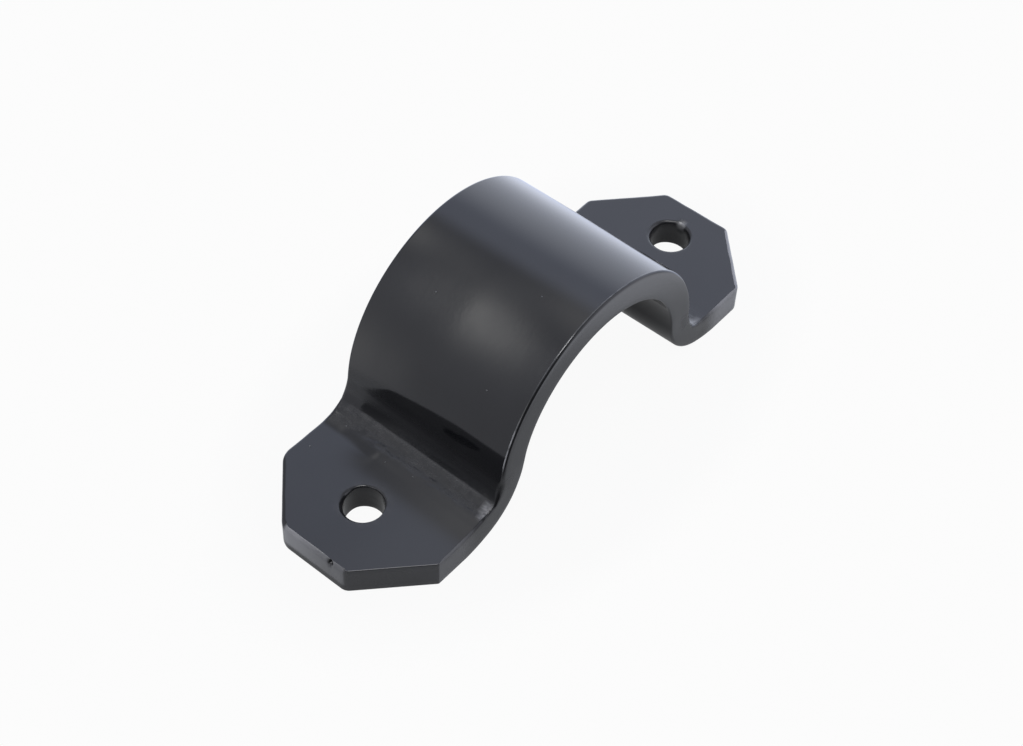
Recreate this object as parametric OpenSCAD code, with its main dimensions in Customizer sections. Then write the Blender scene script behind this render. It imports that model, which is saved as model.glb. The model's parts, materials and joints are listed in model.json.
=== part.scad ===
// Suspension arm bracket: one flat bar bent into a half-round saddle with a flat, drilled ear on each side.
// Millimetres. +X runs from ear to ear, Y lies along the saddle's axis, +Z is up.
// Z = 0 is the underside of both ears and X = Y = 0 is the middle of the saddle.

/* [Bar] */
// Width of the flat bar, along the saddle's axis
bar_width = 50; // [42:1:70]
// Thickness of the flat bar
bar_thickness = 8; // [6:0.5:10]
// Radius of the bar's rolled long edges
edge_radius = 0.8; // [0.4:0.1:1.4]

/* [Saddle] */
// Inside radius of the half-round saddle
saddle_radius = 29; // [26:0.5:32]
// Height from the underside of the ears to the crown of the saddle
overall_height = 50; // [48:0.5:54]
// Radius of the hollow bend between saddle and ear, on the upper side
bend_radius = 10; // [8:0.5:12]

/* [Ears] */
// Length over both ears
overall_length = 150; // [146:1:180]
// Length of the clip along each side of an ear's corner
corner_clip = 15; // [8:0.5:16]
// Radius that softens the corners of the ears' outline
corner_radius = 2.5; // [1:0.5:5]

/* [Bolt holes] */
// Diameter of the bolt holes
hole_diameter = 11; // [8:0.5:13]
// Distance from the end of the ear at -X to the middle of its hole
hole_end_minus_x = 17.2; // [13:0.1:19]
// Distance from the end of the ear at +X to the middle of its hole
hole_end_plus_x = 12.8; // [11:0.1:19]
// Depth of the broken edge around each hole
hole_break = 0.4; // [0.2:0.1:0.8]

/* [Hidden] */
$fn = 120;
steel = [0.20, 0.205, 0.225];
half_length = overall_length / 2;
half_width = bar_width / 2;
outer_radius = saddle_radius + bar_thickness;
// Height of the saddle's axis
axis_z = overall_height - outer_radius;
// Height of the bends' axes
bend_z = bar_thickness + bend_radius;
// Distance from the saddle's axis to a bend's axis
reach = outer_radius + bend_radius;
// Angle by which the saddle stays short of a half circle at each side
lean = asin((bend_z - axis_z) / reach);
bend_x = reach * cos(lean);
// The bends lie this far inside the bar's skin, so that each piece of the bar meets the next cleanly
skin = 0.01;
// Each bend runs this far into the saddle and the ear beside it, along the middle of the bar
lap = 0.1;
lap_angle = lap / (bend_radius + bar_thickness / 2) * 180 / PI;
// Half of the 45 degrees by which the ear's outline turns at each clipped corner
half_turn = 22.5;
// The round at such a corner is this much wider, so that it crosses the ear's sides and not only touches them
bite = 0.004;
// Cutters run this far past the faces that they cut
over = 1;

// The bar's section, with the rolled edges: X across the thickness, Y across the width.
module bar_section(inset) {
    t = bar_thickness - 2 * inset;
    w = bar_width - 2 * inset;
    r = edge_radius;
    square([t, w - 2 * r], center = true);
    square([t - 2 * r, w], center = true);
    for (x = [-1, 1])
        for (y = [-1, 1])
            translate([x * (t / 2 - r), y * (w / 2 - r)])
                circle(r = r);
}

// The half-round saddle over the axis.
module saddle() {
    translate([0, 0, axis_z])
        rotate([90, 0, 0])
            rotate([0, 0, lean])
                rotate_extrude(angle = 180 - 2 * lean)
                    translate([saddle_radius + bar_thickness / 2, 0])
                        bar_section(0);
}

// The hollow bend at +X, from the saddle down to the ear.
module bend() {
    translate([bend_x, 0, bend_z])
        rotate([90, 0, 0])
            rotate([0, 0, 180 + lean - lap_angle])
                rotate_extrude(angle = 90 - lean + 2 * lap_angle)
                    translate([bend_radius + bar_thickness / 2, 0])
                        bar_section(skin);
}

// The flat ear at +X, before its corners are clipped.
module ear() {
    translate([half_length, 0, bar_thickness / 2])
        rotate([0, -90, 0])
            linear_extrude(height = half_length - bend_x)
                bar_section(0);
}

// A flat shape carried through the full thickness of an ear, and past both of its faces.
module through_ear() {
    translate([0, 0, -over])
        linear_extrude(height = bar_thickness + 2 * over)
            children();
}

// What a softened corner of the ear's outline loses: its point, outside a circle that touches both sides.
// corner is the sharp corner and facing is the direction in which it points.
module corner_loss(corner, facing) {
    centre = corner - corner_radius / cos(half_turn) * [cos(facing), sin(facing)];
    side = 2 * corner_radius * [cos(half_turn), sin(half_turn)];
    through_ear()
        translate(centre)
            rotate(facing)
                difference() {
                    polygon([[0, 0], [side[0], -side[1]], side]);
                    circle(r = corner_radius + bite);
                }
}

// The clip at the ear's corner at +X +Y, with its two softened corners.
module clip_loss() {
    through_ear()
        polygon([
            [half_length - corner_clip - over, half_width + over],
            [half_length + over, half_width - corner_clip - over],
            [half_length + over, half_width + over]
        ]);
    corner_loss([half_length - corner_clip, half_width], 90 - half_turn);
    corner_loss([half_length, half_width - corner_clip], half_turn);
}

// A bolt hole with both edges broken.
module bolt_hole() {
    r = hole_diameter / 2;
    wide = r + hole_break + over;
    narrow = r - over;
    cone = hole_break + 2 * over;
    through_ear()
        circle(r = r);
    translate([0, 0, bar_thickness + over - cone])
        cylinder(h = cone, r1 = narrow, r2 = wide);
    translate([0, 0, -over])
        cylinder(h = cone, r1 = wide, r2 = narrow);
}

module saddle_bracket() {
    color(steel)
        difference() {
            union() {
                saddle();
                for (turn = [0, 180])
                    rotate([0, 0, turn]) {
                        bend();
                        ear();
                    }
            }
            for (turn = [0, 180])
                rotate([0, 0, turn]) {
                    clip_loss();
                    mirror([0, 1, 0])
                        clip_loss();
                }
            for (hole_x = [hole_end_minus_x - half_length, half_length - hole_end_plus_x])
                translate([hole_x, 0, 0])
                    bolt_hole();
        }
}

saddle_bracket();
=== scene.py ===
"""Looks for the suspension arm bracket: a flat steel bar bent into a saddle, under semi-gloss black paint."""

import json
import math

import bpy
from mathutils import Matrix, Vector, noise
from mathutils.geometry import delaunay_2d_cdt


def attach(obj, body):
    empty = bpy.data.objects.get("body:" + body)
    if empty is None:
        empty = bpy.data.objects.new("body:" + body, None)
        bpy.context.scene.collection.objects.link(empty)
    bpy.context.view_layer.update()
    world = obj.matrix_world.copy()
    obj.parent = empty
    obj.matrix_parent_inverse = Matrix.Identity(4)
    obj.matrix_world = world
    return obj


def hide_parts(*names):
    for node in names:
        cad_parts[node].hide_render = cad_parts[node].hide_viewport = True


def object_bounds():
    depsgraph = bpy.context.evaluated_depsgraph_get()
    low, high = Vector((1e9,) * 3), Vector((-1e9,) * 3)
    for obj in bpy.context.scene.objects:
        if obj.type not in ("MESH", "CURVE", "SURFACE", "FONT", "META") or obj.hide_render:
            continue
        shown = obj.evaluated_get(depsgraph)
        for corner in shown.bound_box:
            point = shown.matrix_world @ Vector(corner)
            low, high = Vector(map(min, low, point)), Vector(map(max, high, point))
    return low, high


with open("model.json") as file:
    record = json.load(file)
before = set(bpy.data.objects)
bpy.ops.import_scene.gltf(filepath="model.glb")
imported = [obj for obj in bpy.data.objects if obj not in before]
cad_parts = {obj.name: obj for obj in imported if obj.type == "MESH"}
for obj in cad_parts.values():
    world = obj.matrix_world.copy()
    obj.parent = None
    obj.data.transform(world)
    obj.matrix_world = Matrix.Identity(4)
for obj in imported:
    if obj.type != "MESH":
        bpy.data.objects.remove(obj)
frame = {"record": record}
cad_low, cad_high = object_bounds()

# Shapes are worked out in millimetres and stored in metres.
MM = 0.001
NODE = "saddle_bracket"
MOUNTS = {mount["name"]: mount for mount in frame["record"]["mounts"]}

# Sizes of the bar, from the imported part; it stays inside the part's box by the skin.
SKIN = 0.005
SADDLE_R = MOUNTS["saddle"]["dims"]["r_mm"]
AXIS_Z = MOUNTS["saddle"]["pos_m"][2] / MM
HALF_LENGTH = cad_high.x / MM - SKIN
HALF_WIDTH = cad_high.y / MM - SKIN
THICK = cad_high.z / MM - AXIS_Z - SADDLE_R
BOLT_HOLES = [MOUNTS["bolt_hole_minus_x"], MOUNTS["bolt_hole_plus_x"]]
# The record doesn't give the radius of the hollow bends, so it is written here as in the part's source.
BEND_R = 10.0

# The bent bar as a path: distance s along its middle, from the crown outwards.
BEND_Z = THICK + BEND_R
REACH = SADDLE_R + THICK + BEND_R
LEAN = math.asin((BEND_Z - AXIS_Z) / REACH)
BEND_X = REACH * math.cos(LEAN)
SWEEP = math.pi / 2 - LEAN
ARCH_MID = SADDLE_R + THICK / 2
BEND_MID = BEND_R + THICK / 2
ARCH_S = SWEEP * ARCH_MID
EAR_S = ARCH_S + SWEEP * BEND_MID
END_S = EAR_S + HALF_LENGTH - BEND_X

# Mesh spacing.
STEP = 0.8
FINE_STEP = 0.4
EDGE_STEP = 0.3
HOLE_POINTS = 120
ROUND_RINGS = 6
WALL_RINGS = 5
SUPPORT = 0.2

# Radii of the upper edges.
SADDLE_EDGE = 0.7
EAR_EDGE = 0.95
EAR_WAVE = 0.2
FRONT_EDGE = 1.2
SHEARED_EDGE = 2.2
CRISP_EDGE = 0.22
LIP_EDGE = 0.5
BULGE_EDGE = 1.5
# The clip whose upper edge is crisp faces this way.
CRISP_FACING = Vector((-0.707, -0.707))
HOLE_EDGE = 0.5
FAR_HOLE_EDGE = 0.9
WORN_HOLE_EDGE = 1.2
# The wall leans in by this much below the worn part of a hole's edge.
HOLE_BURR = 0.35
# A sheared edge starts with a corner of this angle before it rounds off.
SHEARED_CORNER = math.radians(40)
FRONT_CORNER = math.radians(35)
# Radii of the lower edges.
UNDER_EDGE = 0.3
UNDER_SADDLE_EDGE = 0.45
UNDER_BEND_EDGE = 0.8
UNDER_HOLE_EDGE = 0.22
# The paint makes each hole this much narrower all round.
HOLE_PAINT = [0.25, 0.05]
# How rough and grey each hole's wall is, as a share of the marked hollows.
HOLE_PRESS = [0.6, 0.1]
# How dull each hole's edge and wall are, as a share of the dull part of the bends.
HOLE_DULL = [0.0, 1.0]

# The press creased each hollow: where the crease starts, is deepest and ends, and its depth.
CREASE_START = 50.5
CREASE_S = 57.6
CREASE_END = 66.0
CREASE_SINK = 1.2
# The rise of the ear at -X and the sunken hollow at +X: height, place of its middle along the bar, width.
NEAR_RISE = (0.85, 66.0, 5.3)
FAR_RISE = (-1.0, 60.5, 4.5)

# A lip that the bend squeezes out at the -Y end of each hollow, with a crease beside the edge.
LIP_HEIGHT = 0.06
CREASE_DEPTH = 0.12
LIP_WIDTH = 1.5

# Height of the press marks and of the unevenness of the upper face.
MARK_HEIGHT = 0.055
WAVE_HEIGHT = 0.04

# Bending drew the bar's sides in by this much, over the saddle and under the bends.
ARCH_DRAW = 0.1
BEND_DRAW = 0.15

# Stretches of the bar by their distance from the crown: begins, full from, full to, ends. The hollow has the
# press marks, the band beside it is dull, the bulge has wide edges and the highlight stretch has a painted
# highlight on its front edge.
BEND = (ARCH_S - 3, ARCH_S + 5, EAR_S - 4, EAR_S + 3)
HOLLOW = (56.6, 57.6, 62.5, 66.5)
BAND = (45.0, 49.0, 52.0, 55.0)
BULGE = (46.0, 51.0, 52.5, 58.5)
LIP = (57.5, 60.0, 62.5, 65.0)
LIP_STRIP = (55.0, 58.0, 58.0, 66.0)
LIP_DUST = (57.5, 59.0, 63.0, 65.5)
HIGHLIGHT_STRETCH = (30.0, 38.0, 43.0, 46.0)

# Shares of lighter grey on the edges and on the walls below them: dust, painted highlights and painted floor
# reflections.
NEAR_LIP_WEAR = 0.5
FAR_LIP_WEAR = 0.25
# Painted highlight: a thin light line along the crown's front edge.
CROWN_EDGE_HIGHLIGHT = 0.25
# Painted highlight: a thin light line on the crisp clip's top edge.
CLIP_EDGE_HIGHLIGHT = 0.3
CLIP_WALL_WEAR = 0.06
# Dust on the ears' end face and -Y sides, which also stands in for a painted reflection of the bright floor.
END_DUST_AND_REFLECTION = 0.65
FRONT_DUST_AND_REFLECTION = 0.2
FAR_SIDE_DUST_AND_REFLECTION = 0.55
# A thin film of dust on the upper side of the ear at +X.
FILM = 0.033

# What the mesh holds at each point for the paint: press marks, dust with painted highlights and reflections,
# bare steel and dull paint.
MARKS = ("press", "dust_and_sheen", "bare", "dull")


def smooth(low, high, value):
    """0 below low, 1 above high and a soft step between them."""
    t = min(max((value - low) / (high - low), 0.0), 1.0)
    return t * t * (3 - 2 * t)


def bar_point(s, y, h):
    """The place of a point of the flat bar once it is bent; h is measured up from its underside."""
    side = -1.0 if s < 0 else 1.0
    along = abs(s)
    if along <= ARCH_S:
        turn = along / ARCH_MID
        x = (SADDLE_R + h) * math.sin(turn)
        z = AXIS_Z + (SADDLE_R + h) * math.cos(turn)
    elif along <= EAR_S:
        turn = SWEEP - (along - ARCH_S) / BEND_MID
        x = BEND_X - (BEND_R + THICK - h) * math.sin(turn)
        z = BEND_Z - (BEND_R + THICK - h) * math.cos(turn)
    else:
        x = BEND_X + along - EAR_S
        z = h
    return Vector((side * x, y, z))


def stretch(s, stops):
    """1 within a stretch of the bar, on either side of the crown, and 0 away from it."""
    begin, full, still_full, end = stops
    along = abs(s)
    return smooth(begin, full, along) * (1 - smooth(still_full, end, along))


def in_arch(s):
    """1 over the saddle and 0 in the bends and the ears."""
    return 1 - smooth(ARCH_S - 8, ARCH_S + 2, abs(s))


def drawn_in(s, h):
    """How far the bar's sides are drawn in where bending stretched it."""
    up = h / THICK
    return ARCH_DRAW * up * in_arch(s) + BEND_DRAW * (1 - up) * stretch(s, BEND)


def lip_at(s, y):
    """Strength of the squeezed-out lip, at the hollows' ends at -Y."""
    return stretch(s, LIP) if y < 0 else 0.0


def relief(s, y):
    """Height of the crease and the press marks in the hollows and of the slight unevenness elsewhere."""
    along = abs(s)
    if along < CREASE_S:
        run = max(along - CREASE_START, 0.0) / (CREASE_S - CREASE_START)
    else:
        run = max(CREASE_END - along, 0.0) / (CREASE_END - CREASE_S)
    sink = CREASE_SINK * run * run * (1 - 0.65 * smooth(16, 25, y)) * (1 - 0.3 * smooth(18, 25, -y))
    rise, top, width = NEAR_RISE if s < 0 else FAR_RISE
    lift = rise * math.exp(-((along - top) / width) ** 2) * (1 - smooth(6, 20, y))
    marks = noise.fractal(Vector((s * 0.9, y * 0.35, 4.0)), 0.7, 2.2, 4)
    waves = noise.noise(Vector((s * 0.05, y * 0.06, 9.0)))
    return lift - sink + MARK_HEIGHT * marks * stretch(s, HOLLOW) + WAVE_HEIGHT * (waves - 0.6)


# Knocks: (s, y, h) of the middle, radius, shift (along s, y, h), share of bare steel.
FAR_RIM = (89.9, 0.3, 7.6)
KNOCKS = [
    ((-97.1, -5.4, 7.2), 1.1, (1.3, 0.0, -0.5), 0.0),
    ((-81.1, -25.0, 6.9), 0.7, (0.0, 0.25, 0.0), 0.0),
    (FAR_RIM, 1.9, (0.35, 0.0, -0.45), 0.6),
]


def knocked(s, y, h):
    """A point of the flat bar after the knocks, its share of bare steel and how deep in a knock it lies."""
    bare = 0.0
    deep = 0.0
    for middle, radius, shift, steel in KNOCKS:
        apart = (s - middle[0], y - middle[1], h - middle[2])
        gap = math.sqrt(sum(part * part for part in apart)) / radius
        if gap < 1:
            pull = (1 - gap * gap) ** 2
            s += shift[0] * pull
            y += shift[1] * pull
            h += shift[2] * pull
            bare = max(bare, steel * smooth(0.0, 0.8, pull))
            deep = max(deep, pull)
    return s, y, h, bare, deep


def place_point(s, y, h):
    """bar_point with the drawn-in sides and the relief of the upper face."""
    reach = min(abs(y) / HALF_WIDTH, 1.0)
    y -= math.copysign(drawn_in(s, h) * reach ** 6, y)
    h += relief(s, y) * smooth(0.6, 1.0, h / THICK)
    return bar_point(s, y, h)


def grid_lines():
    """Places along the bar where the faces have a row of points, closer in the bends."""
    rows = []
    s = 0.0
    while s < END_S:
        rows.append(s)
        s += FINE_STEP if ARCH_S - 2 < s < EAR_S + 2 else STEP
    return [-row for row in rows[:0:-1]] + rows


ROWS = grid_lines()


# The outline's corners, anticlockwise from +X -Y: (cut back along the bar, across it), corner radius, sides.
CORNERS = [
    ((0.0, 15.2), 2.5, (1, -1)),
    ((0.0, 14.5), 2.5, (1, 1)),
    ((16.3, 0.0), 2.5, (1, 1)),
    ((15.6, 0.0), 6.0, (-1, 1)),
    ((0.0, 15.0), 5.0, (-1, 1)),
    ((0.0, 15.0), 3.0, (-1, -1)),
    ((16.0, 0.0), 0.7, (-1, -1)),
    ((15.8, 0.0), 3.0, (1, -1)),
]
DEEPEST_CLIP = max(max(cut_back) for cut_back, radius, sides in CORNERS)


def outline():
    """The flat bar's outline, anticlockwise: a list of (point, outward normal)."""
    points = [point for point, radius in corner_points()]
    count = len(points)
    heads = [(points[(i + 1) % count] - points[i]).normalized() for i in range(count)]
    turns = [heads[i - 1].angle(heads[i]) for i in range(count)]
    backs = [CORNERS[i][1] * math.tan(turns[i] / 2) for i in range(count)]
    loop = []
    for i in range(count):
        before, after = heads[i - 1], heads[i]
        radius = CORNERS[i][1]
        normal_in = Vector((before.y, -before.x))
        centre = points[i] - before * backs[i] - normal_in * radius
        parts = max(4, round(radius * turns[i] / EDGE_STEP))
        for k in range(parts + 1):
            normal = Matrix.Rotation(turns[i] * k / parts, 2) @ normal_in
            loop.append((centre + normal * radius, normal))
        # The straight side up to the next corner's round.
        following = (i + 1) % count
        start = points[i] + after * backs[i]
        end = points[following] - after * backs[following]
        normal = Vector((after.y, -after.x))
        if abs(after.x) > 0.99:
            near, far = sorted((start.x, end.x))
            stops = [row for row in ROWS if near + 0.2 < row < far - 0.2]
            if after.x < 0:
                stops.reverse()
            loop += [(Vector((stop, start.y)), normal) for stop in stops]
        else:
            pieces = max(2, round((end - start).length / EDGE_STEP))
            loop += [(start.lerp(end, k / pieces), normal) for k in range(1, pieces)]
    return loop


def corner_points():
    """The outline's sharp corners with their radii."""
    points = []
    for (back_s, back_y), radius, (side_s, side_y) in CORNERS:
        points.append((Vector((side_s * (END_S - back_s), side_y * (HALF_WIDTH - back_y))), radius))
    return points


def within_corners(point, wanted):
    """An edge radius that stays within the corners' radii near the outline's corners."""
    for corner, radius in corner_points():
        room = max((point - corner).length - radius, 0.0)
        wanted = min(wanted, radius * 0.7 + room * 0.5)
    return wanted


def upper_edge(point, normal):
    """Radius of the upper edge at a point of the outline, and the angle of the corner that it starts with."""
    wave = noise.noise(Vector((point.x * 0.25, point.y * 0.25, 1.7)))
    sheared = smooth(0.8, 0.98, -normal.x)
    front = smooth(0.8, 0.98, -normal.y)
    crisp = smooth(0.9, 0.98, normal.dot(CRISP_FACING))
    radius = EAR_EDGE
    for share, goal in ((sheared, SHEARED_EDGE), (front, FRONT_EDGE), (crisp, CRISP_EDGE)):
        radius += (goal - radius) * share
    radius *= 1 + EAR_WAVE * wave
    arch = in_arch(point.x)
    radius += (SADDLE_EDGE - radius) * arch
    lip = lip_at(point.x, point.y) * smooth(0.9, 0.99, abs(normal.y))
    radius += (LIP_EDGE - radius) * lip
    bulge = stretch(point.x, BULGE) * front
    radius += (BULGE_EDGE - radius) * bulge
    corner = (SHEARED_CORNER * sheared + FRONT_CORNER * front) * (1 - max(arch, lip, bulge))
    return within_corners(point, radius), corner


def lower_edge(point, normal):
    """Radius of the lower edge at a point of the outline."""
    bend = stretch(point.x, BEND) * smooth(0.8, 0.98, -normal.y)
    radius = UNDER_EDGE + (UNDER_SADDLE_EDGE - UNDER_EDGE) * in_arch(point.x)
    return within_corners(point, radius + (UNDER_BEND_EDGE - radius) * bend)


def hole_wear(normal):
    """A hole's upper edge is more worn on its side towards -X +Y; the normal points into the hole."""
    return smooth(0.3, 1.0, normal.dot(Vector((0.62, -0.78))))


def upper_hole_edge(point, normal):
    """Radius of a hole's upper edge, which starts without a corner."""
    least = HOLE_EDGE if point.x < 0 else FAR_HOLE_EDGE
    return least + (WORN_HOLE_EDGE - least) * hole_wear(normal), 0.0


def lower_hole_edge(point, normal):
    """Radius of a hole's lower edge, the same all round."""
    return UNDER_HOLE_EDGE


def lip_room(s):
    """Width of the strip beside an edge that takes the lip."""
    return SUPPORT + (LIP_WIDTH - SUPPORT) * stretch(s, LIP_STRIP)


def edge_profile(upper, corner, lower, room, lip):
    """Rings from the upper face to the lower one: (distance in from the outline, height)."""
    begin = upper * (1 - math.sin(corner))
    rings = [
        (begin + room, THICK),
        (begin + room * 0.6, THICK + LIP_HEIGHT * 0.6 * lip),
        (begin + room * 0.2, THICK + LIP_HEIGHT * lip),
        (begin + room * 0.05, THICK - CREASE_DEPTH * lip),
    ]
    for k in range(ROUND_RINGS + 1):
        turn = corner + (math.pi / 2 - corner) * k / ROUND_RINGS
        rings.append((upper * (1 - math.sin(turn)), THICK - upper * (math.cos(corner) - math.cos(turn))))
    top, bottom = THICK - upper * math.cos(corner), lower
    for k in range(1, WALL_RINGS):
        rings.append((0.0, top + (bottom - top) * k / WALL_RINGS))
    for k in range(ROUND_RINGS + 1):
        turn = math.pi / 2 * k / ROUND_RINGS
        rings.append((lower * (1 - math.cos(turn)), lower * (1 - math.sin(turn))))
    rings.append((lower + SUPPORT, 0.0))
    return rings


class Skin:
    """Collects the points and faces of the bracket's mesh."""

    def __init__(self):
        self.points = []
        self.faces = []
        self.marks = {name: [] for name in MARKS}

    def add(self, point, press=0.0, dust_and_sheen=0.0, bare=0.0, dull=0.0):
        self.points.append(point)
        for name, value in zip(MARKS, (press, dust_and_sheen, bare, dull)):
            self.marks[name].append(value)
        return len(self.points) - 1

    def add_flat(self, s, y, h, press, dust_and_sheen=0.0, dull=0.0):
        """A point of the flat bar, knocked, relieved and bent into place."""
        if h > THICK / 2:
            dull = max(dull, stretch(s, BAND))
            dust_and_sheen += FILM * smooth(58, 64, s)
        s, y, h, bare, deep = knocked(s, y, h)
        return self.add(place_point(s, y, h), press, dust_and_sheen * (1 - smooth(0.0, 0.3, deep)), bare, dull)

    def band(self, rings):
        """Quads between closed rings of points, each ring a list of indices."""
        for upper, lower in zip(rings, rings[1:]):
            count = len(upper)
            for i in range(count):
                j = (i + 1) % count
                self.faces.append((upper[i], lower[i], lower[j], upper[j]))

    def nib(self, s, y, size):
        """A speck of dust under the paint, as a small flattened ball half sunk into the upper face."""
        middle = place_point(s, y, THICK)
        along = (place_point(s + 0.01, y, THICK) - middle).normalized()
        across = Vector((0, 1, 0))
        out = along.cross(across).normalized()
        if out.z < 0 and abs(s) > EAR_S:
            out.negate()
        if (middle + out - Vector((0, 0, AXIS_Z))).length < (middle - Vector((0, 0, AXIS_Z))).length:
            out.negate()
        rows, columns = 6, 8
        rings = []
        for k in range(1, rows):
            lift = math.pi * k / rows
            ring = []
            for j in range(columns):
                turn = 2 * math.pi * j / columns
                spot = along * math.cos(turn) * math.sin(lift) + across * math.sin(turn) * math.sin(lift)
                place = middle + spot * size + out * math.cos(lift) * size * SPECK_FLATNESS
                ring.append(self.add(place, 0.0, SPECK_DUST))
            rings.append(ring)
        top = self.add(middle + out * size * SPECK_FLATNESS, 0.0, SPECK_DUST)
        bottom = self.add(middle - out * size * SPECK_FLATNESS, 0.0, SPECK_DUST)
        self.band(rings)
        for j in range(columns):
            following = (j + 1) % columns
            self.faces.append((top, rings[0][j], rings[0][following]))
            self.faces.append((bottom, rings[-1][following], rings[-1][j]))


def edge_wear_and_sheen(point, normal, ring):
    """Share of lighter grey on one ring of the edges: dust, painted highlights and painted floor reflections.

    Rings 0 to 3 lie on the upper face, 4 to 10 round off its edge, and 11 to 14 are the wall.
    """
    along = abs(point.x)
    near = 1.0 if point.x < 0 else 0.0
    front = smooth(0.9, 0.99, -normal.y)
    end = near * smooth(0.9, 0.99, -normal.x) * (0.5 + 0.5 * smooth(-6, 8, point.y))
    clip = near * smooth(0.9, 0.98, normal.dot(CRISP_FACING))
    far_side = (1 - near) * smooth(0.6, 0.7, -normal.y)
    ear = smooth(66, 74, along)
    wear_and_sheen = 0.0
    if ring <= 3:
        wear_and_sheen = (NEAR_LIP_WEAR if near else FAR_LIP_WEAR) * front * stretch(point.x, LIP_DUST)
    # Rings 4 and 5 of the front edge get a painted highlight, a light line over the highlight stretch at -X
    # and along the crown.
    elif ring in (4, 5):
        wear_and_sheen = near * front * stretch(point.x, HIGHLIGHT_STRETCH)
        wear_and_sheen += CROWN_EDGE_HIGHLIGHT * front * (1 - smooth(20, 30, along))
    grain = 1.4 if ring <= 3 else 0.6
    wear_and_sheen *= 0.8 + 0.9 * noise.noise(Vector((point.x * grain, ring * 0.8, 5.0)))
    # A painted highlight on the crisp clip's top edge.
    if 3 <= ring <= 5:
        wear_and_sheen += CLIP_EDGE_HIGHLIGHT * clip
    # The end face and the ears' -Y sides turn lighter grey: dust and a painted reflection of the bright
    # floor.
    if 4 <= ring <= 13:
        wear_and_sheen += END_DUST_AND_REFLECTION * end
    if 4 <= ring <= 15:
        wear_and_sheen += (FRONT_DUST_AND_REFLECTION * near * front + FAR_SIDE_DUST_AND_REFLECTION * far_side) * ear
    if 9 <= ring <= 15:
        wear_and_sheen += CLIP_WALL_WEAR * clip
    return min(max(wear_and_sheen, 0.0), 1.0)


def edge_rings(skin, loop, upper_at, lower_at, press, dull, lipped):
    """The rounded wall along a closed loop; gives its rings as [(flat places, indices), ...]."""
    profiles = []
    for point, normal in loop:
        lip = lip_at(point.x, point.y) if lipped else 0.0
        room = lip_room(point.x) if lipped else SUPPORT
        upper, corner = upper_at(point, normal)
        profiles.append(edge_profile(upper, corner, lower_at(point, normal), room, lip))
    rings = []
    for k in range(len(profiles[0])):
        flat = []
        ring = []
        for (point, normal), profile in zip(loop, profiles):
            inset, height = profile[k]
            spot = point - normal * inset
            flat.append(spot)
            dust_and_sheen = edge_wear_and_sheen(point, normal, k) if lipped else 0.0
            ring_dull = dull if k > 4 else 0.0
            ring.append(skin.add_flat(spot.x, spot.y, height, press, dust_and_sheen, ring_dull))
        rings.append((flat, ring))
    skin.band([ring for flat, ring in rings])
    return rings


def clear_of_edges(s, y, margin):
    """True if a place lies inside the ears' outline and off the holes by the margin."""
    straight = min(END_S - abs(s), HALF_WIDTH - abs(y))
    clipped = (END_S + HALF_WIDTH - DEEPEST_CLIP - abs(s) - abs(y)) / math.sqrt(2)
    holes = min(math.hypot(s - spot, y) - radius for spot, radius in HOLES)
    return min(straight, clipped) > margin and holes > margin


def fill_face(skin, outer, holes, height):
    """Fills the upper or the lower face between the outline's ring and the holes' rings."""
    upper = height > THICK / 2
    spots = []
    indices = []
    edges = []
    loops = []
    for number, (flat, ring) in enumerate([outer] + holes):
        first = len(spots)
        count = len(flat)
        spots += flat
        loops += [number] * count
        indices += ring
        edges += [(first + i, first + (i + 1) % count) for i in range(count)]
    columns = round(HALF_WIDTH / STEP)
    for s in ROWS:
        bulge = BULGE_EDGE * stretch(s, BULGE)
        edge = max(FRONT_EDGE, SHEARED_EDGE * (1 - math.sin(SHEARED_CORNER)), bulge)
        edge = edge * (1 + EAR_WAVE / 2) + lip_room(s)
        margin = (edge if upper else UNDER_BEND_EDGE + SUPPORT) + STEP / 2
        press = stretch(s, HOLLOW) if upper else 0.0
        for k in range(-columns, columns + 1):
            y = k * HALF_WIDTH / columns
            if clear_of_edges(s, y, margin):
                spots.append(Vector((s, y)))
                loops.append(0)
                indices.append(skin.add_flat(s, y, height, press))
    made = delaunay_2d_cdt(spots, edges, [], 1, 1e-6)
    triangles, sources = made[2], made[3]
    for triangle in triangles:
        # A triangle with all its corners on one hole's ring lies in the hole.
        rims = {loops[sources[i][0]] for i in triangle}
        if len(rims) == 1 and 0 not in rims:
            continue
        face = [indices[sources[i][0]] for i in triangle]
        skin.faces.append(face if upper else face[::-1])


HOLES = []
for mount, paint in zip(BOLT_HOLES, HOLE_PAINT):
    hole_x = mount["pos_m"][0] / MM
    hole_s = math.copysign(abs(hole_x) - BEND_X + EAR_S, hole_x)
    HOLES.append((hole_s, mount["dims"]["r_mm"] - paint))


def hole_loop(spot, radius):
    """A hole's circle, clockwise, with normals that point into the hole."""
    loop = []
    for k in range(HOLE_POINTS):
        turn = -2 * math.pi * k / HOLE_POINTS
        out = Vector((math.cos(turn), math.sin(turn)))
        loop.append((Vector((spot, 0)) + out * (radius - HOLE_BURR * hole_wear(-out)), -out))
    return loop


# Specks under the paint: place along the bar, place across it, half width. Each is flatter than it is wide.
SPECK_DUST = 0.25
SPECK_FLATNESS = 0.6
SPECKS = [
    (-64.1, 19.0, 0.22),
    (-75.6, 21.5, 0.25),
    (-67.1, 4.1, 0.2),
    (-65.5, -3.9, 0.2),
    (-19.2, 10.4, 0.25),
    (-7.9, -12.0, 0.22),
    (-30.7, -13.5, 0.22),
]


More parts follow.
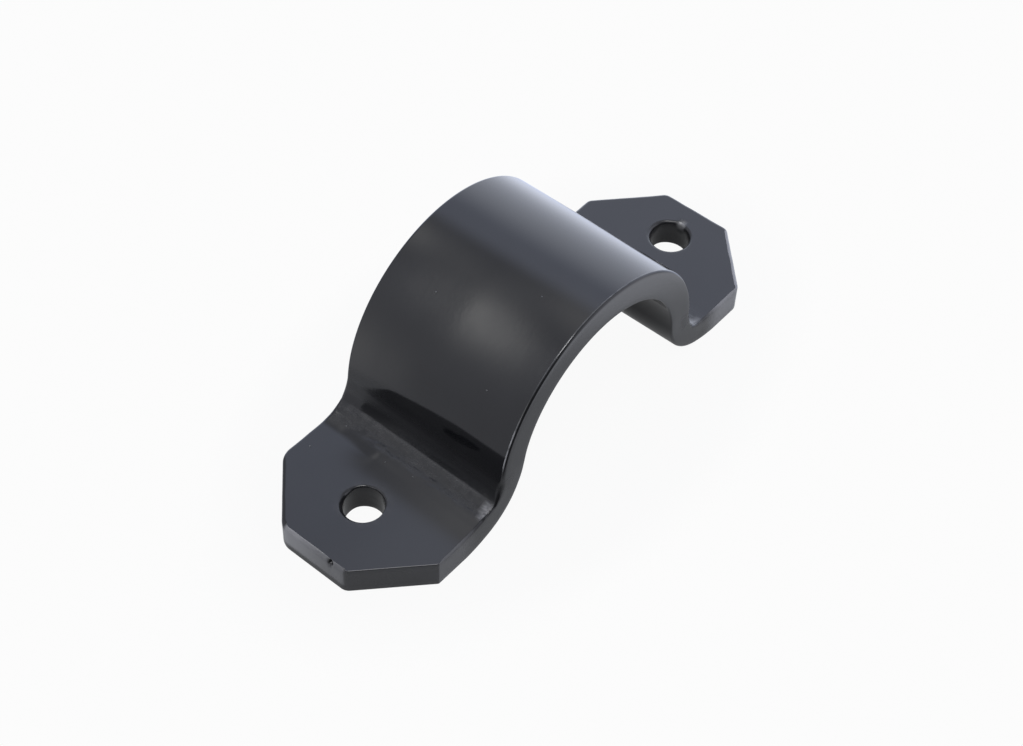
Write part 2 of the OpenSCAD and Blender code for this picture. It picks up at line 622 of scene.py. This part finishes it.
def build_bracket():
    """The bracket as one mesh: the edges' rings, both faces between them and the specks."""
    skin = Skin()
    outer = edge_rings(skin, outline(), upper_edge, lower_edge, 0.0, 0.0, True)
    holes = [
        edge_rings(skin, hole_loop(spot, radius), upper_hole_edge, lower_hole_edge, press, dull, False)
        for (spot, radius), press, dull in zip(HOLES, HOLE_PRESS, HOLE_DULL)
    ]
    fill_face(skin, outer[0], [rings[0] for rings in holes], THICK)
    fill_face(skin, outer[-1], [rings[-1] for rings in holes], 0.0)
    for s, y, size in SPECKS:
        skin.nib(s, y, size)
    mesh = bpy.data.meshes.new("bracket")
    mesh.from_pydata([point * MM for point in skin.points], [], skin.faces)
    mesh.update()
    mesh.polygons.foreach_set("use_smooth", [True] * len(mesh.polygons))
    for name, values in skin.marks.items():
        mesh.attributes.new(name, "FLOAT", "POINT").data.foreach_set("value", values)
    piece = bpy.data.objects.new("bracket", mesh)
    bpy.context.scene.collection.objects.link(piece)
    return piece


def new_node(tree, kind, settings=None, inputs=None):
    """A node with its settings and unlinked inputs set."""
    made = tree.nodes.new(kind)
    for name, value in (settings or {}).items():
        setattr(made, name, value)
    for name, value in (inputs or {}).items():
        made.inputs[name].default_value = value
    return made


def math_node(tree, operation, first, second):
    """A maths node; each operand is a socket or a number."""
    made = new_node(tree, "ShaderNodeMath", {"operation": operation})
    for slot, value in zip(made.inputs, (first, second)):
        if isinstance(value, bpy.types.NodeSocket):
            tree.links.new(value, slot)
        else:
            slot.default_value = value
    return made.outputs[0]


def soft_step(tree, source, low, high):
    """A node that gives 0 below low, 1 above high and a soft step between them."""
    made = new_node(
        tree,
        "ShaderNodeMapRange",
        {"interpolation_type": "SMOOTHSTEP"},
        {"From Min": low, "From Max": high},
    )
    tree.links.new(source, made.inputs["Value"])
    return made.outputs["Result"]


# Colours of the paint, which vary between the first two, of the press marks, of dust and the painted edge
# highlights and reflections, and of bare steel.
PAINT_DARK = (0.005, 0.0052, 0.006, 1)
PAINT_LIGHT = (0.0075, 0.0078, 0.009, 1)
PRESSED_GREY = (0.03, 0.03, 0.031, 1)
DUST_AND_SHEEN_GREY = (0.3, 0.3, 0.31, 1)
STEEL_GREY = (0.4, 0.4, 0.4, 1)
# Least and greatest roughness of the plain paint.
PAINT_ROUGHNESS = (0.075, 0.11)


def paint_material():
    """Near-black semi-gloss paint with a faint orange peel, and a rougher, greyer skin in the bends."""
    material = bpy.data.materials.new("black_paint")
    material.use_nodes = True
    tree = material.node_tree
    links = tree.links
    shader = tree.nodes["Principled BSDF"]
    shader.inputs["IOR"].default_value = 1.5
    place = new_node(tree, "ShaderNodeTexCoord").outputs["Object"]
    press, dust_and_sheen, bare, dull = (
        new_node(tree, "ShaderNodeAttribute", {"attribute_name": name}).outputs["Fac"] for name in MARKS
    )

    def spots(where, scale, detail, rough=0.5):
        made = new_node(
            tree,
            "ShaderNodeTexNoise",
            {},
            {"Scale": scale, "Detail": detail, "Roughness": rough},
        )
        links.new(where, made.inputs["Vector"])
        return made.outputs["Fac"]

    def spread(source, low, high, to_low, to_high):
        made = new_node(
            tree,
            "ShaderNodeMapRange",
            {},
            {"From Min": low, "From Max": high, "To Min": to_low, "To Max": to_high},
        )
        links.new(source, made.inputs["Value"])
        return made.outputs["Result"]

    def blend(factor, first, second):
        made = new_node(tree, "ShaderNodeMix", {"data_type": "RGBA"})
        links.new(factor, made.inputs["Factor"])
        for slot, value in ((made.inputs[6], first), (made.inputs[7], second)):
            if isinstance(value, bpy.types.NodeSocket):
                links.new(value, slot)
            else:
                slot.default_value = value
        return made.outputs[2]

    # The press marks run along Y.
    drawn_out = new_node(tree, "ShaderNodeMapping", {}, {"Scale": (1.0, 0.15, 1.0)})
    links.new(place, drawn_out.inputs["Vector"])
    cloud = spots(place, 70, 4)
    grain = spots(place, 900, 3)
    streaks = spots(drawn_out.outputs["Vector"], 700, 4, 0.6)
    mottle = math_node(tree, "MULTIPLY", math_node(tree, "ADD", spots(place, 420, 5, 0.65), streaks), 0.5)
    tone = blend(spread(cloud, 0.3, 0.7, 0, 1), PAINT_DARK, PAINT_LIGHT)
    grey = math_node(tree, "MULTIPLY", spread(mottle, 0.45, 0.65, 0, 1), press)
    tone = blend(math_node(tree, "MULTIPLY", grey, 0.85), tone, PRESSED_GREY)
    # Dust, and the painted highlights and floor reflections on the edges, turn the paint light grey.
    tone = blend(dust_and_sheen, tone, DUST_AND_SHEEN_GREY)
    tone = blend(bare, tone, STEEL_GREY)
    links.new(bare, shader.inputs["Metallic"])
    links.new(tone, shader.inputs["Base Color"])

    roughness = spread(cloud, 0.3, 0.7, *PAINT_ROUGHNESS)
    for share, more in ((press, 0.08), (grey, 0.12), (bare, 0.25), (dull, 0.2)):
        roughness = math_node(tree, "ADD", roughness, math_node(tree, "MULTIPLY", share, more))
    links.new(roughness, shader.inputs["Roughness"])

    peel = new_node(tree, "ShaderNodeBump", {}, {"Strength": 0.05, "Distance": 0.00005})
    links.new(grain, peel.inputs["Height"])
    rough = new_node(tree, "ShaderNodeBump", {}, {"Distance": 0.0002})
    links.new(math_node(tree, "MULTIPLY", press, 0.5), rough.inputs["Strength"])
    links.new(mottle, rough.inputs["Height"])
    links.new(peel.outputs["Normal"], rough.inputs["Normal"])
    links.new(rough.outputs["Normal"], shader.inputs["Normal"])
    return material


def heading(azimuth, elevation):
    """Unit vector; azimuth 0 is +X and 90 is +Y, in degrees."""
    a, e = math.radians(azimuth), math.radians(elevation)
    return Vector((math.cos(a) * math.cos(e), math.sin(a) * math.cos(e), math.sin(e)))


# Soft glows of the surroundings: middle (azimuth, elevation), full within the first angle from it and
# gone at the second, colour, strength.
GLOWS = [
    ((60, 40), (70, 140), (0.95, 0.98, 1.1), 0.3),
    ((26, 4), (10, 42), (0.97, 1.0, 1.05), 0.95),
    ((28, 6), (47, 61), (0.82, 0.93, 1.25), 0.7),
    ((60, 85), (10, 70), (0.95, 0.98, 1.1), 0.36),
    ((152, 0), (20, 75), (0.97, 0.99, 1.08), 0.43),
    ((225, 72), (6, 13), (1.0, 1.0, 1.0), 10.0),
    ((-48, -50), (10, 45), (0.95, 0.98, 1.08), 1.0),
    ((-50, 10), (15, 42), (0.95, 0.97, 1.1), 1.0),
    ((180, 20), (4, 14), (1.0, 1.0, 1.0), 1.5),
]
DIM = (0.1, 0.1, 0.105)
# Long narrow lamps that lie across the saddle's axis: (angle up from -X, half width), both in degrees,
# (reach along Y, half width), strength.
LAMPS = [
    ((60.0, 15.5), (0.429, 0.0083), 4.2),
    ((101.0, 12.5), (0.385, 0.02), 0.68),
    ((-12.0, 20.0), (0.48, 0.02), 0.6),
    ((89.0, 9.5), (0.481, 0.015), 1.0),
]
LAMP_COLOUR = (1.0, 0.99, 0.95)
SEEN_WHITE = 0.972


def build_surroundings():
    """Soft white surroundings, brighter behind the part and dim behind the camera, with some long lamps."""
    world = bpy.data.worlds.new("surroundings")
    bpy.context.scene.world = world
    world.use_nodes = True
    tree = world.node_tree
    links = tree.links
    base = tree.nodes["Background"]
    base.inputs["Color"].default_value = (*DIM, 1)
    way = new_node(tree, "ShaderNodeTexCoord").outputs["Generated"]

    def along(direction):
        made = new_node(tree, "ShaderNodeVectorMath", {"operation": "DOT_PRODUCT"})
        made.inputs[1].default_value = direction
        links.new(way, made.inputs[0])
        return made.outputs["Value"]

    def light(level, colour, strength):
        made = new_node(tree, "ShaderNodeBackground", {}, {"Color": (*colour, 1)})
        links.new(math_node(tree, "MULTIPLY", level, strength), made.inputs["Strength"])
        return made.outputs[0]

    def squared(distance, width):
        part = math_node(tree, "DIVIDE", distance, width)
        return math_node(tree, "MULTIPLY", part, part)

    lights = []
    for (azimuth, elevation), (full, gone), colour, strength in GLOWS:
        facing = along(heading(azimuth, elevation))
        level = soft_step(tree, facing, math.cos(math.radians(gone)), math.cos(math.radians(full)))
        lights.append(light(level, colour, strength))
    # A lamp halves at its half widths, and is only on the side that its angle points to.
    for (degrees, half_angle), (reach, half_reach), strength in LAMPS:
        angle = math.radians(degrees)
        off_reach = squared(math_node(tree, "SUBTRACT", along((0, 1, 0)), reach), half_reach)
        off_angle = squared(along((math.sin(angle), 0, math.cos(angle))), math.sin(math.radians(half_angle)))
        lamp = math_node(tree, "POWER", 0.5, math_node(tree, "ADD", off_reach, off_angle))
        ahead = along((-math.cos(angle), 0, math.sin(angle)))
        lamp = math_node(tree, "MULTIPLY", lamp, soft_step(tree, ahead, 0.1, 0.6))
        lights.append(light(lamp, LAMP_COLOUR, strength))
    total = base.outputs[0]
    for part in lights:
        joined = tree.nodes.new("ShaderNodeAddShader")
        links.new(total, joined.inputs[0])
        links.new(part, joined.inputs[1])
        total = joined.outputs[0]
    white = new_node(tree, "ShaderNodeBackground", {}, {"Color": (1, 1, 1, 1), "Strength": SEEN_WHITE})
    path = new_node(tree, "ShaderNodeLightPath")
    mix = tree.nodes.new("ShaderNodeMixShader")
    links.new(path.outputs["Is Camera Ray"], mix.inputs[0])
    links.new(total, mix.inputs[1])
    links.new(white.outputs[0], mix.inputs[2])
    links.new(mix.outputs[0], tree.nodes["World Output"].inputs["Surface"])


# The floor is an oval that fades into the surroundings, from a share of its half widths out to its rim.
FLOOR_HALF_X = 0.105
FLOOR_HALF_Y = 0.062
FLOOR_FADE = 0.75
FLOOR_SEEN_WHITE = 0.97
FLOOR_MIRRORED_WHITE = 0.2
FLOOR_POINTS = 96


def build_floor():
    """A white floor, clear from below: seen directly it is the photo's white with a trace of shadow."""
    mesh = bpy.data.meshes.new("floor")
    turns = [2 * math.pi * k / FLOOR_POINTS for k in range(FLOOR_POINTS)]
    rim = [(math.cos(turn), math.sin(turn), 0.0) for turn in turns]
    mesh.from_pydata(rim, [], [tuple(range(FLOOR_POINTS))])
    floor = bpy.data.objects.new("floor", mesh)
    floor.location.z = -0.0001
    floor.scale = (FLOOR_HALF_X, FLOOR_HALF_Y, 1.0)
    bpy.context.scene.collection.objects.link(floor)
    material = bpy.data.materials.new("white_floor")
    material.use_nodes = True
    tree = material.node_tree
    links = tree.links
    shader = tree.nodes["Principled BSDF"]
    shader.inputs["Base Color"].default_value = (0.46, 0.47, 0.475, 1)
    shader.inputs["Roughness"].default_value = 0.9
    shader.inputs["Specular IOR Level"].default_value = 0.0
    white = new_node(tree, "ShaderNodeEmission", {}, {"Color": (1, 1, 1, 1), "Strength": SEEN_WHITE})
    path = new_node(tree, "ShaderNodeLightPath")
    seen = math_node(tree, "MULTIPLY", path.outputs["Is Camera Ray"], FLOOR_SEEN_WHITE)
    mirrored = math_node(tree, "MULTIPLY", path.outputs["Is Glossy Ray"], FLOOR_MIRRORED_WHITE)
    share = math_node(tree, "MAXIMUM", seen, mirrored)
    place = new_node(tree, "ShaderNodeTexCoord").outputs["Object"]
    away = new_node(tree, "ShaderNodeVectorMath", {"operation": "LENGTH"})
    links.new(place, away.inputs[0])
    fade = soft_step(tree, away.outputs["Value"], FLOOR_FADE, 1.0)
    below = new_node(tree, "ShaderNodeNewGeometry").outputs["Backfacing"]
    clear = math_node(tree, "MAXIMUM", fade, below)
    mix = tree.nodes.new("ShaderNodeMixShader")
    links.new(share, mix.inputs[0])
    links.new(shader.outputs[0], mix.inputs[1])
    links.new(white.outputs[0], mix.inputs[2])
    rim = tree.nodes.new("ShaderNodeMixShader")
    links.new(clear, rim.inputs[0])
    links.new(mix.outputs[0], rim.inputs[1])
    links.new(tree.nodes.new("ShaderNodeBsdfTransparent").outputs[0], rim.inputs[2])
    links.new(rim.outputs[0], tree.nodes["Material Output"].inputs["Surface"])
    mesh.materials.append(material)


# The photo's camera, fitted to the part's outline.
IMAGE_WIDTH = 1023
FOCAL_PIXELS = 1921.8
CAMERA_AZIMUTH = math.radians(-51.81)
CAMERA_ELEVATION = math.radians(48.95)
CAMERA_ROLL = math.radians(2.624)
CAMERA_DISTANCE = 477.21
AIM_HEIGHT = 16.0
AIM_ACROSS = -2.5
AIM_UP = -6.96


def build_camera():
    """The camera at the photo's place, aimed a little beside the saddle's axis."""
    a, e = CAMERA_AZIMUTH, CAMERA_ELEVATION
    back = Vector((math.sin(a) * math.cos(e), -math.cos(a) * math.cos(e), math.sin(e)))
    right = Vector((math.cos(a), math.sin(a), 0))
    up = back.cross(right)
    roll = Matrix.Rotation(CAMERA_ROLL, 3, back)
    right, up = roll @ right, roll @ up
    aim = Vector((0, 0, AIM_HEIGHT)) + right * AIM_ACROSS + up * AIM_UP
    camera = bpy.data.cameras.new("camera")
    camera.sensor_width = 36.0
    camera.sensor_fit = "HORIZONTAL"
    camera.lens = FOCAL_PIXELS / IMAGE_WIDTH * camera.sensor_width
    camera.clip_start = 0.01
    camera.clip_end = 20.0
    holder = bpy.data.objects.new("camera", camera)
    place = Matrix((right, up, back)).transposed().to_4x4()
    place.translation = (aim + back * CAMERA_DISTANCE) * MM
    holder.matrix_world = place
    bpy.context.scene.collection.objects.link(holder)
    bpy.context.scene.camera = holder


bracket = build_bracket()
bracket.data.materials.append(paint_material())
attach(bracket, "root")
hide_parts(NODE)
build_floor()
build_surroundings()
build_camera()
bpy.context.scene.view_settings.view_transform = "Standard"
